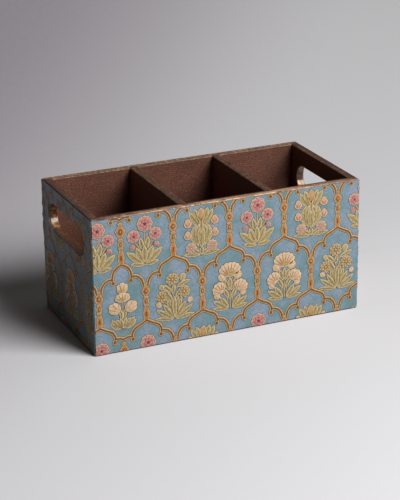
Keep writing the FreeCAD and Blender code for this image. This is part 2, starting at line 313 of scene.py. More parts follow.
def finish_board(piece, node, paint, lacquer):
    """Paints a board, lacquers its rim and slot, washes its eased corners and puts it in its node's place."""
    pick(piece)
    piece.data.materials.clear()
    for coat in (paint, lacquer, slot_lacquer, corner_paint):
        piece.data.materials.append(coat)
    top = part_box(node)[1].z
    for face in piece.data.polygons:
        rim = face.center.z > top - 2 * RIM_EASE * MM and face.normal.z > 0.05
        slot = in_slot(face.center) and abs(face.normal.x) < 0.97
        corner = abs(face.normal.z) < 0.3 and max(abs(face.normal.x), abs(face.normal.y)) < 0.99
        face.material_index = 2 if slot else 1 if rim else 3 if corner else 0
    bpy.ops.object.shade_smooth_by_angle(angle=BOARD_SMOOTH)
    bpy.ops.object.modifier_add(type="WEIGHTED_NORMAL")
    piece.modifiers[-1].keep_sharp = True
    bpy.ops.object.modifier_apply(modifier=piece.modifiers[-1].name)
    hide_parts(node)
    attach(piece, "root")


paint_along_width = satin_paint("brown_paint_along_width", ALONG_WIDTH)
lacquer_along_width = bronze_lacquer(
    "bronze_lacquer_along_width", ALONG_WIDTH, "#36221A", "#5C402F", "#8C684A", 0.6, 0.55, 0.0,
    [("X", 126.0, 120.0)])
slot_lacquer = bronze_lacquer(
    "bronze_slot_lacquer", ROUND_SLOT, "#321C11", "#4B2C1C", "#C2945C", 0.25, 0.5, 0.6)
corner_paint = satin_paint(
    "washed_corner_paint", UPRIGHT,
    deep="#A3ACAB", light="#C4C0B5", speckle="#D2C4AC", cloudy="#949FA1")

for side in ("left", "right"):
    node = f"{side}_end_board"
    low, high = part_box(node)
    end_board = board(f"{side}_slotted_end", low, high)
    ease_edges(end_board, on_rim, RIM_EASE * MM)
    joint_cut(end_board, "base_board")
    cut_away(end_board, slot_cutter((low.x + high.x) / 2, ROUTER_BIT * MM, 0.0))
    pick(end_board)
    ease_edges(end_board, on_slot_edge, SLOT_EASE * MM)
    finish_board(end_board, node, paint_along_width, lacquer_along_width)


# Front and back boards
# The two long walls, 7.5 mm MDF, rebated at the ends for the end boards, at the foot for the base, and
# housed for the dividers. Their rims are rubbed with bronze and their eased corners washed pale blue-grey.

CORNER_EASE = 1.0

front_lacquer = bronze_lacquer(
    "bronze_lacquer_front_rim", ALONG_LENGTH, "#3A241A", "#CEA283", "#D8B084", 0.9, 0.45, 0.1,
    [("Y", 55.2, 58.0), ("X", 165.0, 45.0)])
back_lacquer = bronze_lacquer(
    "bronze_lacquer_back_rim", ALONG_LENGTH, "#4E372B", "#8A6A56", "#C29A72", 0.9, 0.3, 0.1,
    [("Y", 52.8, 56.4)])

for side, outward, lacquer in (("front", -1, front_lacquer), ("back", 1, back_lacquer)):
    node = f"{side}_board"
    low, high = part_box(node)
    outer = low.y if outward < 0 else high.y
    long_board = board(f"{side}_long_wall", low, high)
    ease_edges(long_board, lambda e: abs(e.verts[0].co.z - e.verts[1].co.z) > MM
               and all(abs(v.co.y - outer) < FLUSH * MM for v in e.verts), CORNER_EASE * MM)
    ease_edges(long_board, lambda e: all(v.co.z > high.z - FLUSH * MM for v in e.verts), RIM_EASE * MM)
    for neighbour in ("left_end_board", "right_end_board", "base_board", "left_divider", "right_divider"):
        joint_cut(long_board, neighbour)
    finish_board(long_board, node, paint_along_length, lacquer)


# Dividers
# Two boards of the same MDF, glued into the housings of the long walls and standing on the base.
# Their top edges are flush with the rim and eased and lacquered like it.

for side in ("left", "right"):
    node = f"{side}_divider"
    divider = board(f"{side}_partition", *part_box(node))
    ease_edges(divider, on_rim, RIM_EASE * MM)
    finish_board(divider, node, paint_along_width, lacquer_along_width)


# Brads
# Headless steel wire brads, 1.2 by 15 mm, driven through the glued joints under the printed sheets.
# Bright drawn wire has a grey shine with fine lines along the draw.

brad_steel, tree = new_material("drawn_steel_wire")
place = add_node(tree, "ShaderNodeTexCoord").outputs["Object"]
# Draw lines are under 0.05 mm; drawn at 0.2 mm.
drawn = add_node(tree, "ShaderNodeTexNoise", {"Vector": place, "Scale": 1 / (0.2 * MM), "Detail": 2.0})
steel = add_node(tree, "ShaderNodeBsdfPrincipled", {
    "Base Color": add_node(tree, "ShaderNodeMix", {
        "Factor": drawn.outputs["Fac"], "A": linear("#8C8C8E"), "B": linear("#C4C4C6"),
    }, data_type="RGBA").outputs["Result"],
    "Metallic": 1.0,
    "Roughness": add_node(tree, "ShaderNodeMapRange", {
        "Value": drawn.outputs["Fac"], "To Min": 0.22, "To Max": 0.42,
    }).outputs["Result"],
})
add_node(tree, "ShaderNodeOutputMaterial", {"Surface": steel.outputs["BSDF"]})

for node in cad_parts:
    if node.endswith("_brads"):
        finish_node(node, brad_steel)


# Printed sheets
# Lacquered paper 0.4 mm thick, glued to the four outside faces and trimmed just short of the corners.
# The ground is washed in blues by hand, so teal and lavender clouds drift over it, with a fine paper tooth.

print_ground, tree = new_material("blue_washed_print")
place = add_node(tree, "ShaderNodeTexCoord").outputs["Object"]
wash = add_node(tree, "ShaderNodeTexNoise", {
    "Vector": place, "Scale": 1 / (16 * MM), "Detail": 4.0, "Roughness": 0.6,
})
elsewhere = add_node(tree, "ShaderNodeMapping", {"Vector": place, "Location": (0.31, 0.17, 0.23)})
drift = add_node(tree, "ShaderNodeTexNoise", {
    "Vector": elsewhere.outputs["Vector"], "Scale": 1 / (22 * MM), "Detail": 3.0, "Roughness": 0.6,
})
# Paper tooth is about 0.2 mm; drawn at 1.6 mm so that it shows.
tooth = add_node(tree, "ShaderNodeTexNoise", {"Vector": place, "Scale": 1 / (1.6 * MM), "Detail": 3.0})
blue = tinted(tree, linear("#6B8C92"), linear("#8699AB"), wash.outputs["Fac"], 0.38, 0.62)
clouded = tinted(tree, blue, linear("#9AA0B8"), drift.outputs["Fac"], 0.5, 0.7, 0.8)
toothed = tinted(tree, clouded, linear("#5C767C"), tooth.outputs["Fac"], 0.4, 0.66, 0.5)
paper = add_node(tree, "ShaderNodeBsdfPrincipled", {
    "Base Color": toothed,
    "Roughness": add_node(tree, "ShaderNodeMapRange", {
        "Value": tooth.outputs["Fac"], "To Min": 0.3, "To Max": 0.46,
    }).outputs["Result"],
    "Normal": add_node(tree, "ShaderNodeBump", {
        "Height": tooth.outputs["Fac"], "Strength": 0.2, "Distance": 0.1 * MM,
    }).outputs["Normal"],
    "IOR": 1.46,
})
add_node(tree, "ShaderNodeOutputMaterial", {"Surface": paper.outputs["BSDF"]})

for side in ("front", "back", "left", "right"):
    finish_node(f"{side}_print_sheet", print_ground)


# Raised trellis
# An arcade of cusped arches on slender colonettes, printed in raised ink over the ground and sealed by the
# lacquer: a brown core between beige edges, about 0.3 mm proud of the sheet. The thin dark line outside is
# painted shade where the relief meets the ground.

BAY = 52.0
NARROW_BAY = 42.3
ROW = 53.7
ARCH_TOP = 78.8
LOBE = 13.5
NARROW_LOBE = 11.0
HAUNCH = 10.8
NARROW_HAUNCH = 9.0
COLUMN_HALF = 1.8
FRONT_COLUMN = -26.1
SHEET_FOOT = 1.0
SHEET_HEAD = 120.5
SHEET_MARGIN = 0.1
SHEET_MIDDLE = 60.75
WINDOW_SPARE = 1.3
WINDOW_CUT = 10.0
INK_SMOOTH = math.radians(40)
SINK = 0.15
LEVEL = 0.1
TOUCH = 0.001


def raised_ink(name, light, deep, rough):
    """Opaque ink under a thin satin lacquer: small clouds of a deeper tone where the ink lay thicker."""
    material, tree = new_material(name)
    place = add_node(tree, "ShaderNodeTexCoord").outputs["Object"]
    # Ink clouds are about 0.5 mm; drawn at 2 mm so that they show.
    cloud = add_node(tree, "ShaderNodeTexNoise", {"Vector": place, "Scale": 1 / (2 * MM), "Detail": 3.0})
    ink = add_node(tree, "ShaderNodeBsdfPrincipled", {
        "Base Color": tinted(tree, linear(light), linear(deep), cloud.outputs["Fac"], 0.35, 0.65),
        "Roughness": add_node(tree, "ShaderNodeMapRange", {
            "Value": cloud.outputs["Fac"], "To Min": rough - 0.08, "To Max": rough + 0.08,
        }).outputs["Result"],
        "IOR": 1.46,
    })
    add_node(tree, "ShaderNodeOutputMaterial", {"Surface": ink.outputs["BSDF"]})
    return material


INKS = {
    # The dark line ink is painted shade, laid round the foot of every raised motif.
    "painted_shade": raised_ink("painted_shade_line_ink", "#4B524B", "#3C433E", 0.5),
    "beige": raised_ink("beige_line_ink", "#C6AB7C", "#AE9064", 0.4),
    "brown": raised_ink("brown_core_ink", "#83532A", "#694020", 0.4),
    "ochre": raised_ink("ochre_ink", "#BE8650", "#A06C3C", 0.4),
    "pale": raised_ink("pale_line_ink", "#DAC79E", "#C6B086", 0.4),
    "leaf": raised_ink("olive_leaf_ink", "#B7A374", "#97875C", 0.42),
    "rib": raised_ink("olive_rib_ink", "#786341", "#645036", 0.42),
    "pink": raised_ink("pink_petal_ink", "#C48D85", "#AE736E", 0.4),
    "rose": raised_ink("deep_pink_ink", "#9A5A5C", "#86494E", 0.4),
    "blush": raised_ink("blush_petal_ink", "#DAB09C", "#C99684", 0.4),
    "red": raised_ink("red_heart_ink", "#7C352C", "#642824", 0.4),
    "mauve": raised_ink("mauve_petal_ink", "#C2A09C", "#A88682", 0.4),
    "cream": raised_ink("cream_petal_ink", "#D8BE9F", "#C4A486", 0.4),
    "tan": raised_ink("tan_petal_ink", "#BE9668", "#A88254", 0.4),
    "peach": raised_ink("peach_petal_ink", "#CCA58B", "#B98E74", 0.4),
}
INK_ORDER = list(INKS)


def inked(piece, chosen):
    """Gives a motif the set of inks, each face the ink that the rule chooses, and takes it off the scene."""
    for ink in INKS.values():
        piece.data.materials.append(ink)
    for face in piece.data.polygons:
        face.material_index = INK_ORDER.index(chosen(face))
    for shelf in piece.users_collection:
        shelf.objects.unlink(piece)


def drawn_line(points, radius, height, ink, finely=True):
    """A raised line along the points, in millimetres across and up the sheet, low and round in section."""
    bpy.ops.object.select_all(action="DESELECT")
    bpy.ops.curve.primitive_bezier_curve_add(location=(0, 0, 0))
    line = bpy.context.object
    spline = line.data.splines[0]
    spline.bezier_points.add(len(points) - 2)
    for knot, (x, z) in zip(spline.bezier_points, points):
        knot.co = (x * MM, 0, z * MM)
        knot.handle_left_type = knot.handle_right_type = "AUTO"
    line.data.dimensions = "3D"
    line.data.resolution_u = 3 if finely else 2
    line.data.bevel_depth = radius * MM
    line.data.bevel_resolution = 2 if finely else 0
    line.data.use_fill_caps = True
    bpy.ops.object.convert(target="MESH")
    line = bpy.context.object
    line.scale = (1, height / radius, 1)
    bpy.ops.object.transform_apply(location=True, rotation=True, scale=True)
    bpy.ops.object.mode_set(mode="EDIT")
    bpy.ops.mesh.select_all(action="SELECT")
    bpy.ops.mesh.remove_doubles(threshold=TOUCH * MM)
    bpy.ops.object.mode_set(mode="OBJECT")
    inked(line, lambda face: ink)
    return line


def grown(outline, by):
    """Moves a closed outline, drawn anticlockwise, outwards by a distance."""
    moved = []
    for before, here, after in zip(outline[-1:] + outline[:-1], outline, outline[1:] + outline[:1]):
        into, onward = (here - before).normalized(), (after - here).normalized()
        side = Vector((into.y + onward.y, -into.x - onward.x)).normalized()
        moved.append(here + side * by / max(0.6, side.dot(Vector((into.y, -into.x)))))
    return moved


def embossed(outline, level, ink, edge="beige", rim=0.5, line=0.33, crown=0.35):
    """Raises a closed outline, in millimetres, out of the sheet: a dark line of painted shade, an edge and
    a crowned field. rim and line are the widths of the edge and of the dark line outside it, and may be 0."""
    outline = [Vector(point) for point in outline]
    ground = level * LEVEL
    rings = [(rim + line, -SINK)]
    if line:
        rings.append((rim + line, ground + 0.03))
    if rim:
        rings.append((rim, ground + 0.05))
    rings += [(0, ground + 0.08), (-crown, ground + 0.16)]
    bpy.ops.object.select_all(action="DESELECT")
    bpy.ops.mesh.primitive_circle_add(vertices=len(outline), radius=MM, fill_type="NGON", enter_editmode=True)
    motif = bpy.context.object
    bpy.ops.mesh.select_mode(type="FACE")
    for number, (grow, height) in enumerate(rings):
        if number:
            bpy.ops.mesh.extrude_region_move()
        shape = bmesh.from_edit_mesh(motif.data)
        ring = [point for point in shape.verts if point.select]
        # An extrusion shuffles its new points, which lie on those of the ring before until they are moved.
        if number:
            ring.sort(key=lambda point: order[tuple(point.co)])
        for point, (x, z) in zip(ring, grown(outline, grow)):
            point.co = (x * MM, -height * MM, z * MM)
        order = {tuple(point.co): place for place, point in enumerate(ring)}
    shape.normal_update()
    bmesh.update_edit_mesh(motif.data)
    bpy.ops.mesh.select_all(action="SELECT")
    if shape.calc_volume(signed=True) < 0:
        bpy.ops.mesh.flip_normals()
    bpy.ops.object.mode_set(mode="OBJECT")

    def field(face):
        height = -face.center.y / MM - ground
        if height > 0.09 or not rim:
            return ink
        # The outermost ring, below the edge, is painted shade.
        return edge if height > 0.055 or not line else "painted_shade"

    inked(motif, field)
    return motif


def turned(outline, degrees, x, z):
    """Turns an outline clockwise about its own foot and sets it at a place on the sheet."""
    c, s = math.cos(math.radians(degrees)), math.sin(math.radians(degrees))
    return [(x + a * c + b * s, z - a * s + b * c) for a, b in outline]


def lobed(across, up, steps, lobes=1, depth=0.0):
    """An oval outline, plain or with a number of shallow lobes."""
    return [
        (across * (1 - depth + depth * math.cos(lobes * a)) * math.cos(a),
         up * (1 - depth + depth * math.cos(lobes * a)) * math.sin(a))
        for a in (2 * math.pi * i / steps for i in range(steps))
    ]


def half_arch(upper, lower):
    """The left half of a cusped arch, from its tip at the origin to the head of the colonette, in the given
    widths. A lobe with little room is rounder, and a haunch with little room only sags between its drops."""
    u, w = upper / LOBE, (lower - COLUMN_HALF) / HAUNCH
    lobe = (
        (0, 0), (-1.4, -0.6), (-5.3, -2.8), (-8.6, -4.2),
        (-11.4, -6.1), (-12.8, -8.3), (-13.5, -10.6), (-13.4, -13.0),
    )
    if upper < NARROW_LOBE:
        lobe = (
            (0, 0), (-2.4, -0.3), (-6.3, -1.6), (-9.3, -3.4),
            (-11.5, -5.5), (-12.9, -8.0), (-13.5, -10.5), (-13.4, -13.0),
        )
    lobe = [(x * u, z) for x, z in lobe]
    haunch = [(-upper - x * w, z) for x, z in (
        (0, -11.4), (2.8, -11.6), (5.6, -12.5), (7.8, -14.4), (9.5, -16.9), (10.3, -19.7), (10.9, -22.6))]
    if lower < NARROW_HAUNCH:
        haunch = [(-upper - x * lower, z) for x, z in ((0, -12.0), (0.35, -11.9), (0.7, -12.5), (1.0, -13.8))]
    drop = turned(lobed(1.5, 1.6, 12), 0, -upper + 0.6, -14.9)
    # The widest and lowest of the three lines along each path is painted shade round the band.
    return [
        piece
        for path in (lobe, haunch)
        for piece in (
            drawn_line(path, 2.15, 0.06, "painted_shade"), drawn_line(path, 1.8, 0.24, "beige"),
            drawn_line(path, 1.0, 0.34, "brown"))
    ] + [embossed(drop, 1.2, "brown", rim=0.75, line=0.3)]


def colonette(middle, across, up, bead_middle):
    """A colonette below the haunches of its row: a diamond, a bead and a baluster, with collars between.
    middle, across and up are the height of the diamond's middle and its half width and half height."""
    diamond = [(0, -up), (0.5 * across, -0.58 * up), (across, 0), (0.5 * across, 0.58 * up)]
    diamond += [(-x, -z) for x, z in diamond]
    side = [(1.7, -53.4), (1.5, -52.2), (2.1, -49.8), (2.3, -47.4), (2.0, -45.0), (1.1, -42.8), (0.9, -40.4)]
    stack = [
        (turned(diamond, 0, 0, middle), 1.5),
        (turned(lobed(2.0, 2.9, 12), 0, 0, bead_middle), 1.0),
        (side + [(-x, z) for x, z in reversed(side)], 0.8),
    ]
    collars = [middle + up + 1.0, (middle - up + bead_middle + 2.9) / 2, bead_middle - 3.6]
    stack += [(turned(lobed(1.6, 0.5, 10), 0, 0, z), 2.2) for z in collars]
    hearts = [
        (lobed(0.48 * across, 0.46 * up, 10), middle, 3.0, "brown"),
        (lobed(0.75, 1.1, 8), middle, 4.6, "beige"),
        (lobed(1.2, 1.9, 10), bead_middle, 2.6, "brown"),
        (lobed(0.55, 1.1, 8), bead_middle, 4.2, "beige"),
        (lobed(0.8, 2.6, 10), -47.6, 2.4, "brown"),
    ]
    return [
        embossed(outline, level, "ochre", rim=0.75, line=0.35) for outline, level in stack
    ] + [
        embossed(turned(outline, 0, 0, z), level, ink, rim=0, line=0, crown=0.25)
        for outline, z, level, ink in hearts
    ]


# Each outside face: half its sheet's width, its turn about the upright axis and its distance from the middle,
# how far down the print was cut and how many degrees askew it was glued, and the colonettes of its middle
# row. The front has one narrow bay.
outer_column = FRONT_COLUMN - BAY - NARROW_BAY
front_columns = [outer_column - BAY, outer_column] + [FRONT_COLUMN + BAY * i for i in range(-1, 4)]
FACES = {
    "front": (124.45, 0, 62.0, -0.4, 0.4, front_columns),
    "back": (124.45, 180, 62.0, 0.0, 0.0, [FRONT_COLUMN + BAY * i for i in range(-3, 5)]),
    "left": (61.45, -90, 125.0, 4.3, 1.7, [-18.9 + BAY * i for i in range(-2, 4)]),
    "right": (61.45, 90, 125.0, 4.3, 0.0, [-31.2 + BAY * i for i in range(-2, 4)]),
}


def trimmed(piece, half):
    """Cuts off what runs past the edge of the sheet; False if nothing is left."""
    places = [point.co / MM for point in piece.data.vertices]
    for axis, limit, outward in (
        (0, -half + SHEET_MARGIN, -1), (0, half - SHEET_MARGIN, 1),
        (2, SHEET_FOOT + SHEET_MARGIN, -1), (2, SHEET_HEAD - SHEET_MARGIN, 1),
    ):
        reach = [outward * (place[axis] - limit) for place in places]
        if min(reach) >= 0:
            return False
        if max(reach) > 0:
            plane, normal = Vector(), Vector()
            plane[axis], normal[axis] = limit * MM, outward
            bpy.context.scene.collection.objects.link(piece)
            pick(piece)
            bpy.ops.object.mode_set(mode="EDIT")
            bpy.ops.mesh.select_all(action="SELECT")
            bpy.ops.mesh.bisect(
                plane_co=plane, plane_no=normal, use_fill=True, clear_outer=True, threshold=0.01 * TOUCH * MM)
            bpy.ops.object.mode_set(mode="OBJECT")
            bpy.context.scene.collection.objects.unlink(piece)
            places = [point.co / MM for point in piece.data.vertices]
    return True


def in_window(point):
    """Whether a point of an end sheet lies in the window round the hand slot."""
    past_end = max(abs(point.y) / MM - SLOT_REACH, 0)
    return math.hypot(past_end, point.z / MM - SLOT_MIDDLE) < SLOT_HEIGHT / 2 + WINDOW_SPARE


def laid(motif, face, x, z, mirrored=False):
    """Copies a motif onto an outside face at a place in millimetres, trims it, and clears the hand slot."""
    half, turn, distance, lower, askew, _ = FACES[face]
    copies = []
    for part in motif:
        piece = part.copy()
        piece.data = part.data.copy()
        if mirrored:
            piece.data.transform(Matrix.Diagonal((-1, 1, 1, 1)))
            piece.data.flip_normals()
        piece.data.transform(
            Matrix.Translation((0, 0, SHEET_MIDDLE * MM)) @ Matrix.Rotation(math.radians(-askew), 4, "Y")
            @ Matrix.Translation((x * MM, 0, (z - lower - SHEET_MIDDLE) * MM)))
        kept = trimmed(piece, half)
        piece.data.transform(
            Matrix.Rotation(math.radians(turn), 4, "Z") @ Matrix.Translation((0, -distance * MM, 0)))
        open_air = [face in slot_cutters and in_window(point.co) for point in piece.data.vertices]
        if all(open_air):
            kept = False
        elif kept and any(open_air):
            bpy.context.scene.collection.objects.link(piece)
            cut_away(piece, slot_cutters[face], keep=True)
            bpy.context.scene.collection.objects.unlink(piece)
        if kept:
            copies.append(piece)
        else:
            bpy.data.objects.remove(piece)
    return copies


def joined(name, parts):
    """Joins the laid motifs of one face into one piece of the printed sheet."""
    bpy.ops.object.select_all(action="DESELECT")
    for part in parts:
        bpy.context.scene.collection.objects.link(part)
        part.select_set(True)
    bpy.context.view_layer.objects.active = parts[0]
    bpy.ops.object.join()
    piece = bpy.context.object
    piece.name = piece.data.name = name
    bpy.ops.object.shade_smooth_by_angle(angle=INK_SMOOTH)
    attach(piece, "root")


def discard(motifs):
    """Deletes the motifs that copies were made from."""
    for motif in motifs:
        for part in motif:
            bpy.data.objects.remove(part)


def halfway(columns):
    """The places halfway between neighbouring colonettes."""
    return [(a + b) / 2 for a, b in zip(columns, columns[1:])]


slot_cutters = {
    face: slot_cutter(outward * FACES[face][2] * MM, WINDOW_CUT * MM, WINDOW_SPARE)
    for face, outward in (("left", -1), ("right", 1))
}
column = colonette(-26.9, 3.4, 4.9, -36.1)
narrow_column = colonette(-24.1, 4.0, 5.9, -35.3)
arches = {}

for face in FACES:
    middle_columns = FACES[face][-1]
    between = halfway(middle_columns)
    parts = []
    for row in (1, 0, -1):
        tips, feet = (between, middle_columns) if row == 0 else (middle_columns, between)
        tip_height = ARCH_TOP + ROW * row
        for foot in feet:
            narrow = min(abs(tip - foot) for tip in tips) < LOBE + NARROW_HAUNCH and row
            parts += laid(narrow_column if narrow else column, face, foot, tip_height)
        for tip in tips:
            for mirrored in (False, True):
                beside = [f for f in feet if (f > tip) == mirrored]
                if not beside:
                    continue
                width = round(abs((min(beside) if mirrored else max(beside)) - tip), 1)
                # In a narrow bay the middle row squeezes the upper lobe, and the other rows the haunch.
                upper = min(LOBE, width - (HAUNCH + COLUMN_HALF)) if row == 0 else LOBE
                if (upper, width) not in arches:
                    arches[upper, width] = half_arch(upper, width - upper)
                parts += laid(arches[upper, width], face, tip, tip_height, mirrored)
    joined(f"{face}_trellis", parts)
discard([column, narrow_column] + list(arches.values()))


# Flowering plants
# Garden plants printed in the same raised ink, one in every niche: roses and tulips in the upper and lower
# rows, lilies, daisies and carnations in the middle row. A pale line runs round each flower and leaf.

LEAF_EDGE = 0.55
LEAF_FULLNESS = 1.15
LEAF_STEPS = 6
PETAL_EDGE = 0.35
DISC_EDGE = 0.6


def leaf(x, z, length, width, degrees, level=0, bend=0):
    """A lance-shaped leaf with its rib, leaning clockwise from upright, by bend degrees more at its tip."""
    spine = [Vector((x, z))]
    for step in range(LEAF_STEPS):
        lean = math.radians(degrees + bend * (step + 0.5) / LEAF_STEPS)
        spine.append(spine[-1] + Vector((math.sin(lean), math.cos(lean))) * length / LEAF_STEPS)
    right, left = [], []
    for step in range(1, LEAF_STEPS):
        lean = math.radians(degrees + bend * step / LEAF_STEPS)
        half = (LEAF_FULLNESS * width / 2 - LEAF_EDGE) * math.sin(math.pi * step / LEAF_STEPS) ** 0.75
        reach = Vector((math.cos(lean), -math.sin(lean))) * half
        right.append(spine[step] + reach)
        left.append(spine[step] - reach)
    outline = [spine[0]] + right + [spine[-1]] + left[::-1]
    rib = drawn_line(spine[1:-1:2], 0.4, 0.45 + level * LEVEL, "rib", finely=False)
    blade = embossed(outline, level, "leaf", "pale", rim=LEAF_EDGE, line=0.4, crown=min(0.35, width / 8))
    return [blade, rib]


def stem(*points):
    """A thin stem through the points."""
    # The wider, lower dark line under the stem is painted shade round it.
    return [
        drawn_line(points, 0.95, 0.06, "painted_shade", finely=False),
        drawn_line(points, 0.6, 0.16, "beige", finely=False),
    ]


def petal(x, z, length, width, degrees, level, ink, edge, line=0.0):
    """One rounded petal from its foot, leaning clockwise from upright."""
    half = [(0.3, 0.16), (0.5, 0.58), (0.32, 0.92)]
    outline = [(0, 0)] + [(a * width, b * length) for a, b in half] + [(0, length)] + [
        (-a * width, b * length) for a, b in reversed(half)]
    return [embossed(turned(outline, degrees, x, z), level, ink, edge, PETAL_EDGE, line, min(0.3, width / 7))]


def whorl(x, z, count, start, inner, length, width, level, ink, edge):
    """A ring of petals round a point, the odd ones a little higher than the even ones."""
    petals = []
    for number in range(count):
        degrees = start + 360 * number / count
        lean = math.radians(degrees)
        petals += petal(x + inner * math.sin(lean), z + inner * math.cos(lean), length, width, degrees,
                        level + 0.6 * (number % 2), ink, edge)
    return petals


def blossom(x, z, length, across, degrees, petals, ink, depth=0.1, heart=None):
    """A flower seen from the side: petals joined in a scalloped oval that grows from its foot, and veins.
    depth is how deep the scallops are, and heart an ink that fills the foot."""
    steps = 4 * petals
    shares = [1 - 2 * step / steps for step in range(steps + 1)]

    def at(share, part):
        lean = math.radians(80 * share)
        wide, tall = across / 2 * math.cos(lean), length / 2 * math.sin(lean)
        oval = length * (across / 2) ** 2 * math.cos(lean) / (wide * wide + tall * tall)
        reach = part * oval * (1 - depth * (1 - abs(math.sin(math.pi * petals * (share + 1) / 2))))
        return reach * math.sin(lean), reach * math.cos(lean)

    outline = turned([(0, 0)] + [at(share, 1) for share in shares], degrees, x, z)
    fan = [embossed(outline, 2, ink, "pale", rim=0.5, line=0.4, crown=0.3)]
    if heart:
        core = turned([(0, 0)] + [at(0.8 * share, 0.6) for share in shares[::2]], degrees, x, z)
        fan.append(embossed(core, 2.4, heart, rim=0, line=0, crown=0.25))
    for number in range(1, petals):
        vein = [at(2 * number / petals - 1, part) for part in (0.3, 0.98)]
        fan.append(drawn_line(turned(vein, degrees, x, z), 0.42, 0.75, "tan", finely=False))
    return fan


def button(x, z, radius, level, ink):
    """A small round heart."""
    return [embossed(turned(lobed(radius, radius, 8), 0, x, z), level, ink, rim=0, line=0, crown=0.25)]


def disc(x, z, radius, lobes, depth, ink):
    """The scalloped disc under a flower that is seen from the front."""
    outline = lobed(radius - DISC_EDGE, radius - DISC_EDGE, 4 * lobes, lobes, depth)
    return [embossed(turned(outline, 0, x, z), 1.5, ink, "pale", rim=DISC_EDGE)]


def rose(x, z, radius):
    """A full rose: two rings of petals over a disc of deep pink, and a red heart."""
    r = radius
    outer = whorl(x, z, 7, 12, 0.34 * r, 0.54 * r, 0.5 * r, 2.6, "pink", "blush")
    inner = whorl(x, z, 5, 40, 0.1 * r, 0.44 * r, 0.4 * r, 4.4, "pink", "rose")
    return disc(x, z, r, 8, 0.05, "rose") + outer + inner + button(x, z, 0.19 * r, 6.8, "red")


def daisy(x, z, radius, petals, lines):
    """A daisy: a ring of petals with lines between them over a disc, and a dotted heart."""
    r = radius
    flower = disc(x, z, r, 9, 0.06, petals)
    flower += whorl(x, z, 8, 10, 0.28 * r, 0.56 * r, 0.36 * r, 2.6, petals, lines)
    for number in range(5):
        lean = math.radians(30 + 72 * number)
        flower += button(x + 0.26 * r * math.sin(lean), z + 0.26 * r * math.cos(lean), 0.5, 5.0, lines)
    return flower + button(x, z, 0.6, 5.0, "pale")


def bud(x, z, size, degrees, ink, edge="tan"):
    """A closed bud: two petals wrapped round each other."""
    return petal(x, z, size, 0.82 * size, degrees, 2, ink, "pale", line=0.3) + petal(
        x, z, 0.92 * size, 0.42 * size, degrees + 9, 3.2, ink, edge)


def leaf_pair(x, z, length, width, degrees, level=0, bend=0):
    """Two leaves that lean apart."""
    return (leaf(-x, z, length, width, -degrees, level, -bend)
            + leaf(x, z, length, width, degrees, level, bend))


def stem_pair(*points):
    """Two stems that lean apart."""
    return stem(*[(-x, z) for x, z in points]) + stem(*points)


def bud_pair(x, z, size, degrees, ink, edge="tan"):
    """Two buds that lean apart."""
    return bud(-x, z, size, -degrees, ink, edge) + bud(x, z, size, degrees, ink, edge)


def blossom_pair(x, z, length, across, degrees, petals, ink, depth=0.1, heart=None):
    """Two flowers that lean apart."""
    return (blossom(-x, z, length, across, -degrees, petals, ink, depth, heart)
            + blossom(x, z, length, across, degrees, petals, ink, depth, heart))


rose_plant = (
    stem((0, 1), (0.2, 15), (0.6, 30))
    + stem_pair((0.6, 6), (4.4, 15), (8.8, 21.5)) + stem_pair((2, 6), (6, 13), (8.8, 18.2))
    + leaf_pair(0.8, 0.2, 11.5, 3.8, 80) + leaf_pair(1.0, 1.4, 19, 5.6, 54, 1, -6)
    + leaf_pair(1.0, 2.4, 15, 5.2, 28, 2, -6) + leaf(0, 3, 14, 4.6, 0, 3)
    + leaf_pair(1.2, 13.5, 11, 4.0, 16, 1, -8)
    + bud_pair(8.6, 18.6, 5.0, 126, "pink", "rose")
    + rose(0.7, 36.4, 7.2) + rose(-9.7, 26.6, 5.8) + rose(9.9, 26.6, 5.8)
)
tulip_plant = (
    stem_pair((1, 9), (7, 13), (11.6, 16)) + stem_pair((1, 24), (6, 25), (11.4, 27))
    + leaf_pair(1, 0.4, 15.5, 3.4, 84) + leaf_pair(1, 1.2, 9, 3.4, 56, 1) + leaf(0, 0.6, 8, 3.6, 0, 2)
    + leaf_pair(1.2, 25.5, 17, 5.6, 37, 0, -6) + leaf_pair(0.8, 26, 16.4, 5.2, 20, 1, -2)
    + leaf(0, 24, 9, 3.6, 0, 2)
    + leaf_pair(3.2, 9.0, 19.5, 5.6, 38, 1, -66) + leaf_pair(2.2, 8.0, 20, 5.4, 22, 2, -44)
    + leaf_pair(1.0, 7.5, 17, 4.6, 9, 3, -18) + leaf(0, 6.5, 16, 4.6, 0, 4)
    + blossom_pair(12.2, 26.4, 7.4, 6.8, 4, 3, "peach", 0.24)
    + blossom_pair(12.2, 15.6, 7.2, 6.8, 4, 3, "peach", 0.24)
    + daisy(-9.7, 7.2, 5.2, "mauve", "tan") + daisy(9.7, 7.2, 5.2, "mauve", "tan")
    + blossom(0, 30.6, 11.2, 7.0, 0, 3, "tan", 0.24)
)
lily_plant = (
    stem((0, 2), (0, 18), (0, 33))
    + stem_pair((1.4, 2), (1.6, 10), (3.4, 17)) + stem_pair((2.6, 8), (3.0, 13), (5.0, 17))
    + leaf_pair(0.6, 0.6, 12.5, 4.6, 78, 0, -34) + leaf_pair(0.6, 0.6, 12.8, 4.2, 58, 1, -20)
    + leaf_pair(0.5, 1.0, 10, 3.6, 36, 2) + leaf_pair(0.4, 1.0, 9.0, 3.2, 14, 3)
    + leaf_pair(1.0, 9.5, 8.0, 3.0, 8, 1)
    + blossom_pair(3.2, 16.2, 10.8, 10.2, 54, 5, "cream")
    + blossom(0, 24.4, 8.0, 13.2, 0, 6, "cream", 0.1, "beige")
    + blossom(0, 32.4, 9.4, 9.8, 0, 5, "cream", 0.14, "beige")
)
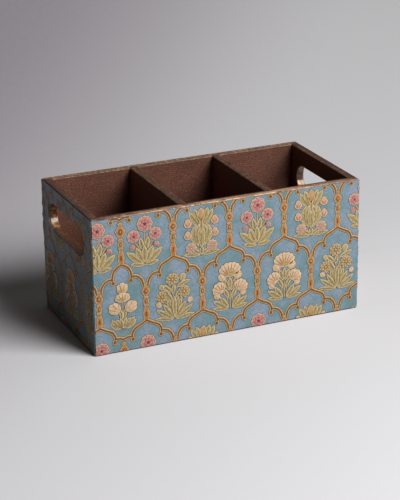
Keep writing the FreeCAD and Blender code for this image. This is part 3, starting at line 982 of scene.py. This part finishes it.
daisy_plant = (
    stem((0, 2), (-0.8, 18), (-1.6, 32))
    + stem((0, 6), (-6, 14), (-11, 19)) + stem((0, 6), (5, 14), (8.6, 20))
    + stem((1, 14), (4.4, 26), (7.4, 34)) + stem((-1, 12), (-6, 24), (-10.6, 30))
    + leaf_pair(0.8, 0.4, 17, 3.6, 82) + leaf_pair(0.8, 1.0, 18.5, 4.0, 62, 1, -10)
    + leaf_pair(0.6, 1.6, 16.5, 3.8, 42, 2, -14)
    + leaf_pair(0.6, 2, 18, 3.8, 22, 1, -6) + leaf_pair(2.0, 4, 16, 3.4, 5, 2) + leaf(0, 2, 19, 3.6, 0, 3)
    + leaf(-2.0, 17, 13.5, 3.8, -34, 2, 8) + leaf(1.2, 20, 13, 3.6, 30, 1, 30)
    + leaf(2.4, 29.0, 13, 3.6, 58, 2, 20) + leaf(-3.0, 26, 9, 3.6, -50, 1, 10) + leaf(-1.6, 24, 8, 3.4, 12, 2)
    + daisy(-1.6, 36.7, 6.0, "beige", "rib") + daisy(-11.4, 22.2, 5.6, "beige", "rib")
    + daisy(8.9, 24.0, 5.8, "beige", "rib") + bud(7.4, 34, 6.8, 6, "leaf", "pale")
    + bud(-10.4, 28.6, 5.0, -30, "leaf", "pale") + bud_pair(12.6, 13.2, 5.4, 38, "cream")
)
carnation_plant = (
    stem((0, 1), (0, 18), (0, 31))
    + stem_pair((2.2, 1), (2.4, 10), (3.2, 17)) + stem_pair((0.6, 9), (4.4, 13.5), (8.0, 16.6))
    + stem_pair((0.4, 20), (3, 25), (5.6, 28)) + stem_pair((2.6, 4), (7.4, 9.6), (10.6, 12.2))
    + leaf_pair(2.0, 0.4, 14, 3.6, 82) + leaf_pair(2.0, 1.0, 16, 4.4, 62, 1, -6)
    + leaf_pair(1.8, 1.8, 12.5, 4.0, 40, 2, -8) + leaf_pair(1.6, 10.5, 9.5, 3.6, 26, 1)
    + leaf_pair(1.0, 17.5, 10, 3.6, 20, 2) + leaf(0, 18.5, 10, 3.8, 0, 3)
    + bud_pair(9.8, 11.6, 5.8, 58, "cream") + bud_pair(4.6, 27.0, 8.0, 44, "cream")
    + blossom_pair(7.2, 16.6, 10.2, 12.6, 44, 7, "cream")
    + blossom(0, 29.6, 13.2, 20.0, 0, 9, "cream", 0.09, "beige")
)

MIDDLE_PLANTS = [lily_plant, daisy_plant, carnation_plant]
OTHER_PLANTS = [rose_plant, tulip_plant]
OTHER_FOOT = 75.7
MIDDLE_FOOT = 21.4
# Which plant of its row stands in each niche, from the left.
PLANTING = {
    "front": ([2, 0, 1, 2, 2, 1], [1, 0, 0, 1, 0, 1, 0]),
    "back": ([1, 2, 2, 1, 0, 2, 2], [1, 0, 1, 0, 1, 0, 1, 0]),
    "left": ([1, 2, 2, 1, 2], [0, 1, 0, 1, 0, 1]),
    "right": ([2, 1, 2, 2, 1], [1, 0, 1, 0, 1, 0]),
}

for face in FACES:
    middle_columns = FACES[face][-1]
    between = halfway(middle_columns)
    middle_kinds, other_kinds = PLANTING[face]
    parts = []
    for x, kind in zip(between, middle_kinds):
        parts += laid(MIDDLE_PLANTS[kind], face, x, MIDDLE_FOOT)
    for x, kind in zip(middle_columns, other_kinds):
        for foot in (OTHER_FOOT, OTHER_FOOT - 2 * ROW):
            parts += laid(OTHER_PLANTS[kind], face, x, foot)
    joined(f"{face}_plants", parts)
discard(MIDDLE_PLANTS + OTHER_PLANTS)
for cutter in slot_cutters.values():
    bpy.data.objects.remove(cutter)


# Floor and backdrop
# A plain pale studio table that runs into a paper sweep behind the box. They are not part of the object.
# The sweep is seen only from its front, so that the back of the box can be looked at too.

SWEEP_START = 0.16
SWEEP_STRIP = 0.1
SWEEP_LIFT = 0.1
SWEEP_RADIUS = 1.6
SWEEP_STEPS = 24
SWEEP_TOP = 2.4
STAGE_WIDTH = 8.0

sweep_paper, tree = new_material("matt_pale_paper")
place = add_node(tree, "ShaderNodeTexCoord").outputs["Object"]
ray = add_node(tree, "ShaderNodeLightPath")
# Paper fibres are about 1 mm long; drawn at 6 mm.
fibre = add_node(tree, "ShaderNodeTexNoise", {"Vector": place, "Scale": 1 / (6 * MM), "Detail": 3.0})
# The paper's colour is painted darker towards the back left, over about half a metre: painted shade for the
# light falling off away from the soft box.
across = add_node(tree, "ShaderNodeVectorMath", {0: place, 1: (0.75, -0.65, 0)}, operation="DOT_PRODUCT")
painted_falloff_share = add_node(tree, "ShaderNodeMapRange", {
    "Value": across.outputs["Value"], "From Min": -0.45, "From Max": -0.03,
}, interpolation_type="SMOOTHSTEP")
painted_falloff = add_node(tree, "ShaderNodeMix", {
    "Factor": painted_falloff_share.outputs["Result"], "A": linear("#A8A1A9"), "B": linear("#DAD9DB"),
}, data_type="RGBA")
faint = add_node(tree, "ShaderNodeMath", {0: fibre.outputs["Fac"], 1: 0.08}, operation="MULTIPLY")
pale = add_node(tree, "ShaderNodeMix", {
    "Factor": faint.outputs[0], "A": painted_falloff.outputs["Result"], "B": linear("#F0EFF1"),
}, data_type="RGBA")
# Black flags round the table swallow most of what it throws back, so it lights the box less than it shows.
matt = add_node(tree, "ShaderNodeBsdfDiffuse", {
    "Color": add_node(tree, "ShaderNodeMix", {
        "Factor": ray.outputs["Is Diffuse Ray"], "A": pale.outputs["Result"], "B": linear("#928A86"),
    }, data_type="RGBA").outputs["Result"],
})
from_behind = add_node(tree, "ShaderNodeMath", {
    0: ray.outputs["Is Camera Ray"],
    1: add_node(tree, "ShaderNodeNewGeometry").outputs["Backfacing"],
}, operation="MULTIPLY")
one_sided = add_node(tree, "ShaderNodeMixShader", {
    0: from_behind.outputs[0], 1: matt.outputs["BSDF"],
    2: add_node(tree, "ShaderNodeBsdfTransparent").outputs["BSDF"],
})
add_node(tree, "ShaderNodeOutputMaterial", {"Surface": one_sided.outputs["Shader"]})

bpy.ops.object.select_all(action="DESELECT")
bpy.ops.mesh.primitive_plane_add(size=STAGE_WIDTH, location=(0, 0, 0))
floor = bpy.context.object
floor.name = "studio_floor"
floor.data.materials.append(sweep_paper)

bpy.ops.object.select_all(action="DESELECT")
bpy.ops.mesh.primitive_plane_add(size=1.0, location=(0, SWEEP_START - SWEEP_STRIP / 2, SWEEP_LIFT * MM))
sweep = bpy.context.object
sweep.name = "studio_sweep"
sweep.scale = (STAGE_WIDTH, SWEEP_STRIP, 1)
bpy.ops.object.transform_apply(location=True, rotation=True, scale=True)
bpy.ops.object.mode_set(mode="EDIT")
bpy.ops.mesh.select_mode(type="EDGE")
bpy.ops.mesh.select_all(action="DESELECT")
shape = bmesh.from_edit_mesh(sweep.data)
for edge in shape.edges:
    if all(v.co.y > SWEEP_START - MM for v in edge.verts):
        edge.select_set(True)
bmesh.update_edit_mesh(sweep.data)
bpy.ops.mesh.spin(
    steps=SWEEP_STEPS, angle=-math.pi / 2, center=(0, SWEEP_START, SWEEP_RADIUS), axis=(1, 0, 0))
bpy.ops.mesh.extrude_region_move(TRANSFORM_OT_translate={"value": (0, 0, SWEEP_TOP - SWEEP_RADIUS)})
bpy.ops.mesh.select_all(action="SELECT")
bpy.ops.mesh.remove_doubles(threshold=0.01 * MM)
bpy.ops.object.mode_set(mode="OBJECT")
bpy.ops.object.shade_smooth()
sweep.data.materials.append(sweep_paper)


# Studio light
# One soft box in front, to the right and above, as the shadow in the photograph shows, aimed at the table to
# the left of the box. A weak overhead panel and a faint warm fill keep the shadow open.

KEY_DIRECTION = Vector((0.395, -0.656, 0.643))
KEY_DISTANCE = 1.9
KEY_AIM = Vector((-0.3, -0.3, 0))
KEY_SIZE = (1.25, 0.95)
KEY_POWER = 49.6
PANEL_PLACE = Vector((0.4, 0.3, 2.0))
PANEL_SIZE = 1.2
PANEL_POWER = 1.5
FILL_STRENGTH = 0.003

bpy.ops.object.light_add(type="AREA", location=KEY_DIRECTION * KEY_DISTANCE)
key = bpy.context.object
key.name = "soft_box"
key.data.shape = "RECTANGLE"
key.data.size, key.data.size_y = KEY_SIZE
key.data.energy = KEY_POWER
key.rotation_euler = (KEY_AIM - key.location).to_track_quat("-Z", "Y").to_euler()

bpy.ops.object.light_add(type="AREA", location=PANEL_PLACE)
panel = bpy.context.object
panel.name = "overhead_panel"
panel.data.size = PANEL_SIZE
panel.data.energy = PANEL_POWER

world = bpy.data.worlds.new("studio_fill")
bpy.context.scene.world = world
world.use_nodes = True
tree = world.node_tree
tree.nodes.clear()
fill = add_node(tree, "ShaderNodeBackground", {"Color": linear("#E8C4B8"), "Strength": FILL_STRENGTH})
seen = add_node(tree, "ShaderNodeBackground", {"Color": linear("#B0ADB2"), "Strength": 1.0})
ray = add_node(tree, "ShaderNodeLightPath")
straight = add_node(tree, "ShaderNodeMath", {
    0: ray.outputs["Is Camera Ray"], 1: ray.outputs["Is Transmission Ray"],
}, operation="MAXIMUM")
shown = add_node(tree, "ShaderNodeMath", {
    0: straight.outputs[0], 1: ray.outputs["Is Glossy Ray"],
}, operation="MAXIMUM")
add_node(tree, "ShaderNodeOutputWorld", {"Surface": add_node(tree, "ShaderNodeMixShader", {
    0: shown.outputs[0], 1: fill.outputs["Background"], 2: seen.outputs["Background"],
}).outputs["Shader"]})


# Camera
# A long lens at the photograph's place, solved from the seven corners that show and the outline of the box.
# Azimuth is counted from straight in front, to the right, and elevation from the level, both in degrees.

CAMERA_PLACE = Vector((-0.5808, -1.3222, 0.6036))
CAMERA_AZIMUTH, CAMERA_ELEVATION, CAMERA_ROLL = (math.radians(a) for a in (-23.693, 20.817, -0.689))
CAMERA_LENS, CAMERA_SENSOR = 125.25, 36.0

forward = Vector((
    -math.sin(CAMERA_AZIMUTH) * math.cos(CAMERA_ELEVATION),
    math.cos(CAMERA_AZIMUTH) * math.cos(CAMERA_ELEVATION),
    -math.sin(CAMERA_ELEVATION),
))
level = forward.cross(Vector((0, 0, 1))).normalized()
upright = level.cross(forward)
right = math.cos(CAMERA_ROLL) * level + math.sin(CAMERA_ROLL) * upright
above = math.cos(CAMERA_ROLL) * upright - math.sin(CAMERA_ROLL) * level
bpy.ops.object.camera_add(location=CAMERA_PLACE)
camera = bpy.context.object
camera.name = "photograph_camera"
camera.data.lens, camera.data.sensor_width = CAMERA_LENS, CAMERA_SENSOR
camera.rotation_euler = Matrix((right, above, -forward)).transposed().to_euler()
bpy.context.scene.camera = camera
bpy.context.scene.view_settings.view_transform = "Standard"
